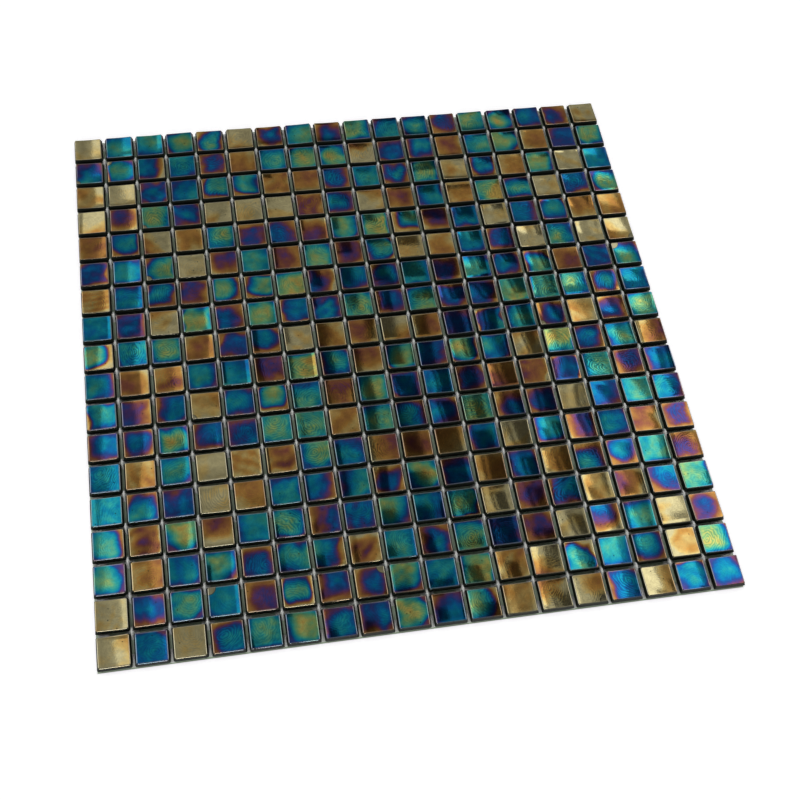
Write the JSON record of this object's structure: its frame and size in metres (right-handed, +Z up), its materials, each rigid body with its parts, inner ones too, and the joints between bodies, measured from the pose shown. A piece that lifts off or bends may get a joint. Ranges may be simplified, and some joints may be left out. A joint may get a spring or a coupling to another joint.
{
  "type": "mosaic tile sheet",
  "caption": "Square sheet of small iridescent glass mosaic tiles set in an even grid with open joints, held together by dots of clear glue under the joints, for bedding in tile adhesive.",
  "frame": {"origin": "middle of the sheet, on the plane that the glue dots stand on", "axes": "+X along the rows of tiles, +Y from the front row to the back row, +Z up out of the lustre faces"},
  "size_m": [0.2956, 0.2956, 0.0046],
  "materials": {
    "lustre_glass": "gloss, metal-lustre film over dark glass",
    "glue_dot": "cloudy clear set glue"
  },
  "bodies": {
    "root": {"tile_row_01": "lustre_glass", "tile_row_02": "lustre_glass", "tile_row_03": "lustre_glass", "tile_row_04": "lustre_glass", "tile_row_05": "lustre_glass", "tile_row_06": "lustre_glass", "tile_row_07": "lustre_glass", "tile_row_08": "lustre_glass", "tile_row_09": "lustre_glass", "tile_row_10": "lustre_glass", "tile_row_11": "lustre_glass", "tile_row_12": "lustre_glass", "tile_row_13": "lustre_glass", "tile_row_14": "lustre_glass", "tile_row_15": "lustre_glass", "tile_row_16": "lustre_glass", "tile_row_17": "lustre_glass", "tile_row_18": "lustre_glass", "glue_dots_front": "glue_dot", "glue_dots_01": "glue_dot", "glue_dots_02": "glue_dot", "glue_dots_03": "glue_dot", "glue_dots_04": "glue_dot", "glue_dots_05": "glue_dot", "glue_dots_06": "glue_dot", "glue_dots_07": "glue_dot", "glue_dots_08": "glue_dot", "glue_dots_09": "glue_dot", "glue_dots_10": "glue_dot", "glue_dots_11": "glue_dot", "glue_dots_12": "glue_dot", "glue_dots_13": "glue_dot", "glue_dots_14": "glue_dot", "glue_dots_15": "glue_dot", "glue_dots_16": "glue_dot", "glue_dots_17": "glue_dot", "glue_dots_back": "glue_dot"}
  },
  "joints": []
}
